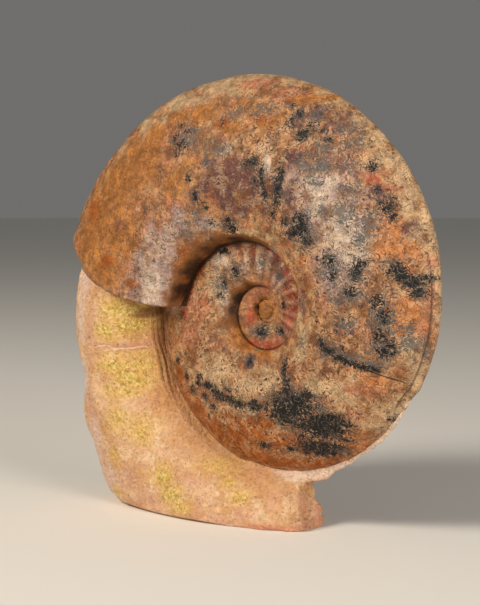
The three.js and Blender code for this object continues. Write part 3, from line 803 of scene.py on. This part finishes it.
def keel_lines(point, angle):
    """1 in the grooves beside the keel band, 0 away from them."""
    radius = math.hypot(point[0], point[2])
    if radius < keel_radius(angle) - KEEL_LINES_DEPTH:
        return 0
    along, _ = keel_rise(angle, 0)
    along *= 1 - KEEL_LINES_WANE * smoothstep(angle, 0, KEEL_LINES_WANE_TO)
    return along * math.exp(-(((abs(point[1]) - KEEL_GROOVE) / KEEL_GROOVE_WIDTH) ** 2))


def back_turned(points):
    """The points with those of the back flank turned round the coil axis."""
    turned = points.copy()
    back = points[:, 1] > 0
    x, z = points[back, 0], points[back, 2]
    turned[back, 0] = x * math.cos(BACK_TURN) - z * math.sin(BACK_TURN)
    turned[back, 2] = x * math.sin(BACK_TURN) + z * math.cos(BACK_TURN)
    return turned


ammonite = finished_piece("fossil_ammonite", coil_mesh())
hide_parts("ammonite")
matrix = finished_piece("matrix_rock", matrix_mesh())
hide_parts("matrix_stone")

flank = places(ammonite)
scattered = back_turned(flank)
turn, share = noted(ammonite, "turn"), noted(ammonite, "share")
# The lilac patches are a painted sheen; the pale and olive ones are partly painted sheen and
# highlight
for name, patches in [
    ("gold", GOLD_PATCHES),
    ("orange", ORANGE_PATCHES),
    ("olive_and_edge_highlight", OLIVE_AND_EDGE_HIGHLIGHT_PATCHES),
    ("rose", ROSE_PATCHES),
    ("lilac_sheen", LILAC_SHEEN_PATCHES),
    ("pale", PALE_AND_SHEEN_PATCHES),
    ("rust", RUST_PATCHES),
    ("purple", PURPLE_PATCHES),
    ("red", RED_PATCHES),
]:
    note(ammonite, name, patchwork(flank, patches))
for name, patches in [("grey", GREY_PATCHES), ("black", BLACK_PATCHES)]:
    note(ammonite, name, patchwork(scattered, patches))
wall = ramp(share, *WALL_SHARES)
lined = np.clip(LINED_EVERYWHERE + LINED_PATCHED * patchwork(flank, LINED_PATCHES), 0, 1)
lined *= np.maximum(ramp(np.degrees(turn), *LINED_TURNS), LINED_INSIDE) * (1 - wall)
note(ammonite, "lined", lined)
# The wall darkens towards the seam: brown dirt and painted shade in the hollow
depth = DIRT_AND_SHADE_AT_SHOULDER + (DIRT_AND_SHADE_AT_SEAM - DIRT_AND_SHADE_AT_SHOULDER) * ramp(share, 0, -1)
note(ammonite, "dirt_and_shade", wall * depth * patchwork(flank, DIRT_AND_SHADE_PATCHES))
note(ammonite, "crack", crack_distances(flank, turn, share))
note(ammonite, "rib", [rib_wave(angle, at) for angle, at in zip(turn, share)])
note(ammonite, "gap", [to_next_seam(point, angle) for point, angle in zip(flank, turn)])
note(ammonite, "keel", [keel_lines(point, angle) for point, angle in zip(flank, turn)])

rock = places(matrix)
for name, stains in [
    ("ochre", OCHRE_STAINS),
    ("rose", ROSE_STAINS),
    ("fracture", FRACTURE_STAINS),
    ("bleached", BLEACHED_STAINS),
    ("groove", GROOVE_AND_SHADE_STAINS),
]:
    note(matrix, name, patchwork(rock, stains))
degrees, past = np.array([past_coil_edge(point) for point in rock]).T
note(matrix, "contact", ramp(past, *CONTACT_PAST) * (degrees < CONTACT_TO))
reach = lerp(*RIM_REACH, ramp(degrees, *RIM_WIDENS))
note(matrix, "rim", ramp(degrees, *RIM_SHOWS) * ramp(past, reach, reach - RIM_FADE))
note(matrix, "folds", [fold_wave(point) for point in rock])
past_ends = np.maximum(VEIN_FROM - rock[:, 0], rock[:, 0] - VEIN_TO) > 0
wander = [bumps(Vector(point), VEIN_WANDER) for point in rock]
note(matrix, "vein", rock[:, 2] - VEIN_LEVEL + wander + WELL_AWAY * past_ends)


# Materials


def linear(hex_colour):
    """An sRGB hex colour as the linear RGBA that Blender mixes."""
    channels = [int(hex_colour[i : i + 2], 16) / 255 for i in (1, 3, 5)]
    return (*[c / 12.92 if c <= 0.04045 else ((c + 0.055) / 1.055) ** 2.4 for c in channels], 1)


def per_mm(size):
    """The scale of a pattern whose features are this many millimetres apart."""
    return 1 / (size * MILLIMETRE)


def node(tree, kind, inputs=None, out=0, **settings):
    """Adds a shader node and returns an output of it; inputs maps a socket to what feeds it."""
    made = tree.nodes.new("ShaderNode" + kind)
    for name, value in settings.items():
        setattr(made, name, value)
    for socket, value in (inputs or {}).items():
        if isinstance(value, bpy.types.NodeSocket):
            tree.links.new(value, made.inputs[socket])
        else:
            made.inputs[socket].default_value = value
    return made.outputs[out]


def new_material(name):
    material = bpy.data.materials.new(name)
    material.use_nodes = True
    return material, material.node_tree, material.node_tree.nodes["Principled BSDF"]


def clouds(tree, where, size, low, high, detail=3, values=(0, 1), seed=0):
    """Noise with features of a size in mm, eased from one value at low to another at high."""
    grain = {"Vector": where, "W": seed, "Scale": per_mm(size), "Detail": detail}
    grain["Roughness"] = 0.62
    fac = node(tree, "TexNoise", grain, noise_dimensions="4D")
    eased = {"Value": fac, 1: low, 2: high, 3: values[0], 4: values[1]}
    return node(tree, "MapRange", eased, interpolation_type="SMOOTHSTEP")


def stain(tree, ground, shape, edges, colour, strength, shown=None):
    """Lays a colour over the ground where a shape's value passes from one edge to the other.

    Where shown is given, the colour is laid only as far as that says.
    """
    eased = {"Value": shape, 1: edges[0], 2: edges[1], 3: 0, 4: strength}
    mask = node(tree, "MapRange", eased, interpolation_type="SMOOTHSTEP")
    if shown is not None:
        mask = node(tree, "Math", {0: mask, 1: shown}, operation="MULTIPLY", use_clamp=True)
    mixed = {0: mask, 6: ground, 7: linear(colour)}
    return node(tree, "Mix", mixed, out=2, data_type="RGBA")


def tints(tree, ground, where, rows):
    """Lays clouds of colour over the ground: each with its size in mm and how much it covers."""
    for seed, (colour, size, low, strength) in enumerate(rows):
        cloud = clouds(tree, where, size, low, low + 0.06, 4, seed=seed + 1)
        ground = stain(tree, ground, cloud, (0, 1), colour, strength)
    return ground


def frayed_stains(tree, ground, where, stains, curls=None):
    """Lays stains over the ground at their patches, with edges frayed by noise and by curls."""
    for patch, colour, reach, size, fray, edge, strength, curl in stains:
        shape = node(tree, "Attribute", out="Fac", attribute_name=patch)
        grain = {"Vector": where, "Scale": per_mm(size), "Detail": 5, "Roughness": 0.65}
        fac = node(tree, "TexNoise", grain)
        shape = node(tree, "Math", {0: fac, 1: fray, 2: shape}, operation="MULTIPLY_ADD")
        if curl:
            added = {0: curls, 1: curl, 2: shape}
            shape = node(tree, "Math", added, operation="MULTIPLY_ADD")
        middle = reach + fray / 2 + curl / 4
        ground = stain(tree, ground, shape, (middle - edge, middle + edge), colour, strength)
    return ground


def bumped(tree, shader, layers):
    """Raises the surface by each pattern, given with its height in mm."""
    height = None
    for pattern, rise in layers:
        added = {0: pattern, 1: rise, 2: height if height else 0}
        height = node(tree, "Math", added, operation="MULTIPLY_ADD")
    bump = node(tree, "Bump", {"Height": height, "Distance": MILLIMETRE, "Strength": 1})
    tree.links.new(bump, shader.inputs["Normal"])


def septum_curls(tree, where, size, bend):
    """Wandering loops: 0 on a line and 0.5 midway to the next, from level lines of bent noise."""
    noisy = {"Vector": where, "Scale": per_mm(bend), "Detail": 2}
    wander = node(tree, "TexNoise", noisy, out="Color")
    reach = (bend * MILLIMETRE * 0.8,) * 3
    bent = {0: wander, 1: reach, 2: where}
    bent = node(tree, "VectorMath", bent, operation="MULTIPLY_ADD")
    field = node(tree, "TexNoise", {"Vector": bent, "Scale": per_mm(size), "Detail": 1})
    levels = node(tree, "Math", {0: field, 1: 7}, operation="MULTIPLY")
    return node(tree, "Math", {0: levels, 1: 0.5}, operation="PINGPONG")


# Fossil: a rock-filled shell whose outer layer is worn away, so that its septum lines show,
# rubbed to a soft sheen. Its pits and grains are under half a millimetre, too fine to show, and
# are drawn 1.1 to 1.5 mm apart. Minerals stain it all over in clouds: a colour, its size in mm,
# the level it starts from and its strength.
FOSSIL_TINTS = [
    ("#b5734c", 9, 0.5, 0.65),
    ("#c99a6a", 7, 0.54, 0.6),
    ("#674236", 6, 0.54, 0.65),
    ("#655e48", 5, 0.56, 0.6),
    ("#985826", 6, 0.57, 0.5),
]

# Its larger stains: the patch, the colour, how far the stain reaches (0.5 is the patch's own
# edge, less is further), the size of its fraying in mm, how far it frays, how soft its edge is,
# its strength, and how far the septum lines break it up. The lilac rows are a painted sheen, the
# pale rows pale mineral with a painted sheen, and the olive rows olive-grey stain with a painted
# highlight along the outer edge
FOSSIL_ZONES = [
    ("orange", "#c07a44", 0.42, 5, 0.9, 0.2, 0.85, 0),
    ("olive_and_edge_highlight", "#c8aa82", 0.43, 6, 0.9, 0.25, 0.75, 0),
    ("rose", "#b46c4e", 0.48, 4, 1.0, 0.2, 0.7, 0),
    ("lilac_sheen", "#a8948f", 0.37, 5, 0.8, 0.3, 0.8, 0),
    ("pale", "#ccb8a4", 0.38, 4, 1.0, 0.25, 0.85, 0),
    ("gold", "#a5652a", 0.45, 8, 0.8, 0.3, 0.9, 0),
    ("gold", "#c38238", 0.5, 4, 1.2, 0.2, 0.5, 0),
    ("gold", "#7c4a22", 0.62, 5, 1.6, 0.15, 0.5, 0),
    ("rust", "#a0520a", 0.36, 4, 0.9, 0.2, 0.95, 0),
    ("purple", "#58363a", 0.38, 4, 1.1, 0.15, 0.8, 0.4),
    ("red", "#a84427", 0.44, 3, 0.9, 0.2, 0.85, 0),
]
FOSSIL_BLOTS = [
    ("black", "#3f4443", 0.36, 1.8, 1.6, 0.1, 0.7, 1.2),
    ("grey", "#4a5052", 0.46, 2.2, 1.4, 0.1, 0.8, 1.2),
    ("black", "#060a10", 0.5, 1.9, 1.3, 0.07, 0.98, 0.9),
]


def fossil_ground(tree, where, curls, fine_curls):
    """The mottled colour of the fossil before its dark blots."""
    tone = clouds(tree, where, 14, 0.4, 0.6)
    mixed = {0: tone, 6: linear("#855432"), 7: linear("#af8056")}
    ground = node(tree, "Mix", mixed, out=2, data_type="RGBA")
    ground = tints(tree, ground, where, FOSSIL_TINTS)
    ground = frayed_stains(tree, ground, where, FOSSIL_ZONES, curls)
    rib = node(tree, "Attribute", out="Fac", attribute_name="rib")
    ground = stain(tree, ground, rib, (0.1, 0.6), "#c0907a", 0.5)
    ground = stain(tree, ground, rib, (-0.1, -0.6), "#7f3420", 0.65)
    for size, dark, light in [(4.5, 0.74, 1.2), (1.6, 0.82, 1.14)]:
        mottle = clouds(tree, where, size, 0.36, 0.64, 4, (dark, light))
        ground = node(tree, "VectorMath", {0: ground, 3: mottle}, operation="SCALE")

    lined = node(tree, "Attribute", out="Fac", attribute_name="lined")
    for pattern, colour, edges, size, strength in [
        (curls, "#d8b48c", (0.12, 0.24), 6, 0.45),
        (fine_curls, "#3c291b", (0.15, 0.06), 5, 0.8),
        (curls, "#271d16", (0.12, 0.06), 4, 0.95),
    ]:
        broken = clouds(tree, where, size, 0.46, 0.56, seed=size)
        shown = node(tree, "Math", {0: lined, 1: broken}, operation="MULTIPLY")
        ground = stain(tree, ground, pattern, edges, colour, strength, shown)
    return ground


def fossil_material():
    material, tree, shader = new_material("weathered ammonite stone")
    where = node(tree, "TexCoord", out="Object")
    curls = septum_curls(tree, where, 5.5, 4)
    fine_curls = septum_curls(tree, where, 3.4, 3)
    ground = fossil_ground(tree, where, curls, fine_curls)
    ground = frayed_stains(tree, ground, where, FOSSIL_BLOTS, fine_curls)
    share, gap, keel, black, dirt_and_shade, across = (
        node(tree, "Attribute", out="Fac", attribute_name=name)
        for name in ("share", "gap", "keel", "black", "dirt_and_shade", "crack")
    )
    ground = stain(tree, ground, curls, (0.09, 0.03), "#8f7a5c", 0.55, black)

    flecks = clouds(tree, where, 1.5, 0.62, 0.7, 2, seed=8)
    ground = stain(tree, ground, flecks, (0, 1), "#d9b28a", 0.35)
    pits = clouds(tree, where, 1.3, 0.62, 0.7, 2)
    ground = stain(tree, ground, pits, (0, 1), "#2c2018", 0.6)

    crack = node(tree, "Math", {0: across}, operation="ABSOLUTE")
    # The umbilicus wall: brown dirt and painted shade, near-black where it is deepest
    earthy = clouds(tree, where, 7, 0.3, 0.7, 5, (-0.4, 0.4), 6)
    dirt_and_shade = node(tree, "Math", {0: dirt_and_shade, 1: earthy}, operation="ADD")
    dirt_and_shade = node(tree, "Math", {0: black, 1: -0.35, 2: dirt_and_shade}, operation="MULTIPLY_ADD")
    ground = stain(tree, ground, dirt_and_shade, (0.0, 0.6), "#704216", 0.9)
    ground = stain(tree, ground, dirt_and_shade, (0.6, 1.6), "#1a0d05", 0.9)
    # Painted shade: near-black deep in the umbilicus wall, by the seam
    ground = stain(tree, ground, share, (-0.8, -0.98), "#1e1008", 0.95)
    # Painted shadow: a dark line on each inner whorl where the next whorl's wall meets it
    ground = stain(tree, ground, gap, (0.06, 0.015), "#241208", 0.85)
    # Painted shade: dark lines in the grooves beside the keel band
    ground = stain(tree, ground, keel, (0.2, 0.8), "#4a3222", 0.7)
    ground = stain(tree, ground, crack, (0.5, 0.15), "#1f1a14", 0.9)
    tree.links.new(ground, shader.inputs["Base Color"])

    sheen = clouds(tree, where, 5, 0.3, 0.7, values=(0.3, 0.55))
    tree.links.new(sheen, shader.inputs["Roughness"])
    shader.inputs["Specular IOR Level"].default_value = 0.27
    thin = node(tree, "MapRange", {"Value": curls, 1: 0.12, 2: 0.02})
    fine = clouds(tree, where, 1.1, 0.3, 0.7)
    worn = clouds(tree, where, 3, 0.3, 0.7, 4)
    bumped(tree, shader, [(fine, 0.14), (thin, -0.1), (worn, 0.35), (pits, -0.2)])
    return material


# Matrix: pale sandy rock, matt and finely pitted, with ochre specks and rosy broken faces. Its
# sand grains are too fine to show as well, and are drawn 1.1 mm apart.
MATRIX_TINTS = [
    ("#d9a589", 8, 0.52, 0.45),
    ("#efd2ae", 6, 0.54, 0.5),
    ("#c08a58", 5, 0.58, 0.35),
]
MATRIX_ZONES = [
    ("rose", "#cf9880", 0.5, 5, 0.9, 0.3, 0.6, 0),
    ("contact", "#c48a52", 0.5, 6, 0.5, 0.35, 0.6, 0),
    ("bleached", "#e3c6b4", 0.5, 5, 0.8, 0.3, 0.75, 0),
    ("rim", "#ecd3c0", 0.55, 4, 0.8, 0.35, 0.7, 0),
    ("fracture", "#d2876c", 0.5, 4, 0.9, 0.25, 0.75, 0),
    ("ochre", "#e2ba62", 0.48, 4, 0.8, 0.3, 0.6, 0),
    ("ochre", "#b0921c", 0.8, 1.9, 3.4, 0.14, 0.7, 0),
    ("ochre", "#f0dd8c", 0.9, 1.6, 3.4, 0.12, 0.6, 0),
]


def matrix_material():
    material, tree, shader = new_material("sandy matrix rock")
    shader.inputs["Roughness"].default_value = 0.85
    where = node(tree, "TexCoord", out="Object")
    tone = clouds(tree, where, 14, 0.38, 0.62, 4)
    mixed = {0: tone, 6: linear("#d3a06e"), 7: linear("#e6bd92")}
    ground = node(tree, "Mix", mixed, out=2, data_type="RGBA")
    ground = tints(tree, ground, where, MATRIX_TINTS)
    ground = frayed_stains(tree, ground, where, MATRIX_ZONES)
    mottle = clouds(tree, where, 2, 0.34, 0.66, 4, (0.87, 1.1))
    ground = node(tree, "VectorMath", {0: ground, 3: mottle}, operation="SCALE")
    folds, groove, across = (
        node(tree, "Attribute", out="Fac", attribute_name=name)
        for name in ("folds", "groove", "vein")
    )
    ground = stain(tree, ground, folds, (0.1, 0.6), "#c5814c", 0.6)
    stained = clouds(tree, where, 9, 0.35, 0.6, values=(0.1, 1), seed=4)
    ground = stain(tree, ground, folds, (-0.4, -0.9), "#5a3018", 0.75, stained)
    # Brown with painted shade, in a line under the mouth's edge
    ground = stain(tree, ground, groove, (0.2, 0.7), "#74411f", 0.75)
    vein = node(tree, "Math", {0: across}, operation="ABSOLUTE")
    ground = stain(tree, ground, vein, (3.0, 0.6), "#c98a66", 0.5)
    ground = stain(tree, ground, vein, (0.6, 0.1), "#eed8b8", 0.65)
    pits = clouds(tree, where, 1.1, 0.6, 0.68, 2)
    ground = stain(tree, ground, pits, (0, 1), "#7a5638", 0.6)
    tree.links.new(ground, shader.inputs["Base Color"])
    fine = clouds(tree, where, 1.1, 0.3, 0.7)
    worn = clouds(tree, where, 3, 0.3, 0.7, 4)
    bumped(tree, shader, [(fine, 0.35), (worn, 0.7), (pits, -0.4)])
    return material


ammonite.data.materials.append(fossil_material())
matrix.data.materials.append(matrix_material())


# Stage, light and camera


def stage_floor():
    bm = bmesh.new()
    bmesh.ops.create_circle(bm, cap_ends=True, segments=96, radius=12)
    floor = loose_object("floor", bm)
    material, _, shader = new_material("pale floor")
    shader.inputs["Base Color"].default_value = linear("#efece6")
    shader.inputs["Roughness"].default_value = 0.8
    floor.data.materials.append(material)


def soft_light(name, place, size, power, colour):
    """A square lamp that faces the middle of the part."""
    lamp = bpy.data.lights.new(name, "AREA")
    lamp.size = size
    lamp.energy = power
    lamp.color = linear(colour)[:3]
    made = bpy.data.objects.new(name, lamp)
    made.location = place
    aim = Vector((0, 0, 0.12)) - Vector(place)
    made.rotation_euler = aim.to_track_quat("-Z", "Y").to_euler()
    scene.collection.objects.link(made)


def studio_camera():
    """Where the photograph was taken from, measured from the coil axis."""
    lens = bpy.data.cameras.new("camera")
    lens.sensor_fit = "VERTICAL"
    lens.sensor_height = 36
    lens.lens = 89.82
    lens.clip_start = 0.01
    camera = bpy.data.objects.new("camera", lens)
    away, across, up = 0.77016, math.radians(36.96), math.radians(4.18)
    camera.location = COIL_AXIS * MILLIMETRE + away * Vector(
        (math.cos(up) * math.sin(across), -math.cos(up) * math.cos(across), math.sin(up))
    )
    tilt_down, heading = math.radians(3.95), math.radians(38.12)
    camera.rotation_euler = (math.pi / 2 - tilt_down, 0, heading)
    scene.collection.objects.link(camera)
    scene.camera = camera


stage_floor()
soft_light("key light", (-0.5, -1.5, 1.3), 0.7, 33.5, "#fff4e4")
soft_light("side light", (1.6, -0.5, 0.5), 0.7, 18, "#fff6ee")
world = bpy.data.worlds.new("studio")
world.use_nodes = True
sky = world.node_tree.nodes["Background"]
sky.inputs["Color"].default_value = linear("#dedcd8")
sky.inputs["Strength"].default_value = 0.22
scene.world = world
scene.view_settings.view_transform = "Standard"
studio_camera()
